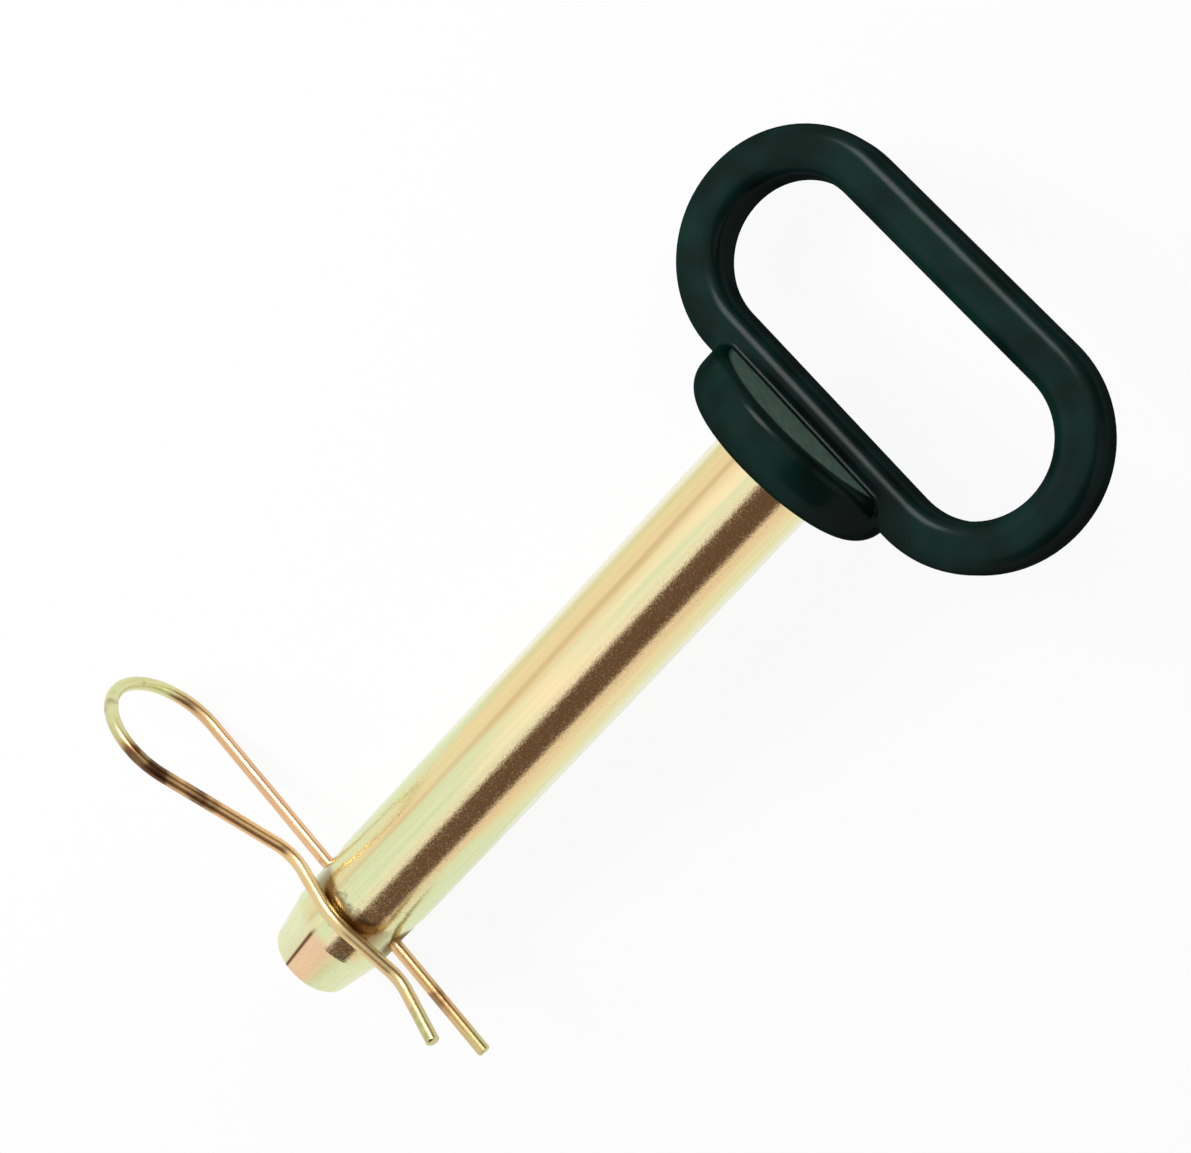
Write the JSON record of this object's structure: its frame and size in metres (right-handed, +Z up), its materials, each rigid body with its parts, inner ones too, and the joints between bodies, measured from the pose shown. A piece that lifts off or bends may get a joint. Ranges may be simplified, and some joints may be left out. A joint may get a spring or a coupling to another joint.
{
  "type": "hitch pin",
  "caption": "Plated steel hitch pin with a dipped collar and oval loop handle, held by a spring hairpin cotter through a cross hole near its tapered tip.",
  "frame": {"origin": "on the floor under the middle of the pin's box, as it lies at rest", "axes": "+X along the pin towards its handle, level with the floor (the pin's own axis is pitched up 4.8 degrees towards the handle); +Z up, the side that the cotter's waved leg is on; +Y to the side of the cotter's loop"},
  "size_m": [0.2272, 0.1304, 0.0517],
  "materials": {
    "plated_steel": "yellow zinc plated, satin",
    "dip_coating": "dipped, glossy, near-black green",
    "plated_spring_wire": "yellow zinc plated, satin"
  },
  "bodies": {
    "pin": {"forged_pin": "plated_steel", "head_coating": "dip_coating"},
    "cotter": {"hairpin_cotter": "plated_spring_wire"}
  },
  "joints": [
    {"name": "cotter_pull", "type": "slide", "parent": "pin", "child": "cotter", "axis": [0.0177, 0.9774, -0.2108], "range_m": [0, 0.065], "deforming": ["hairpin_cotter"]}
  ]
}
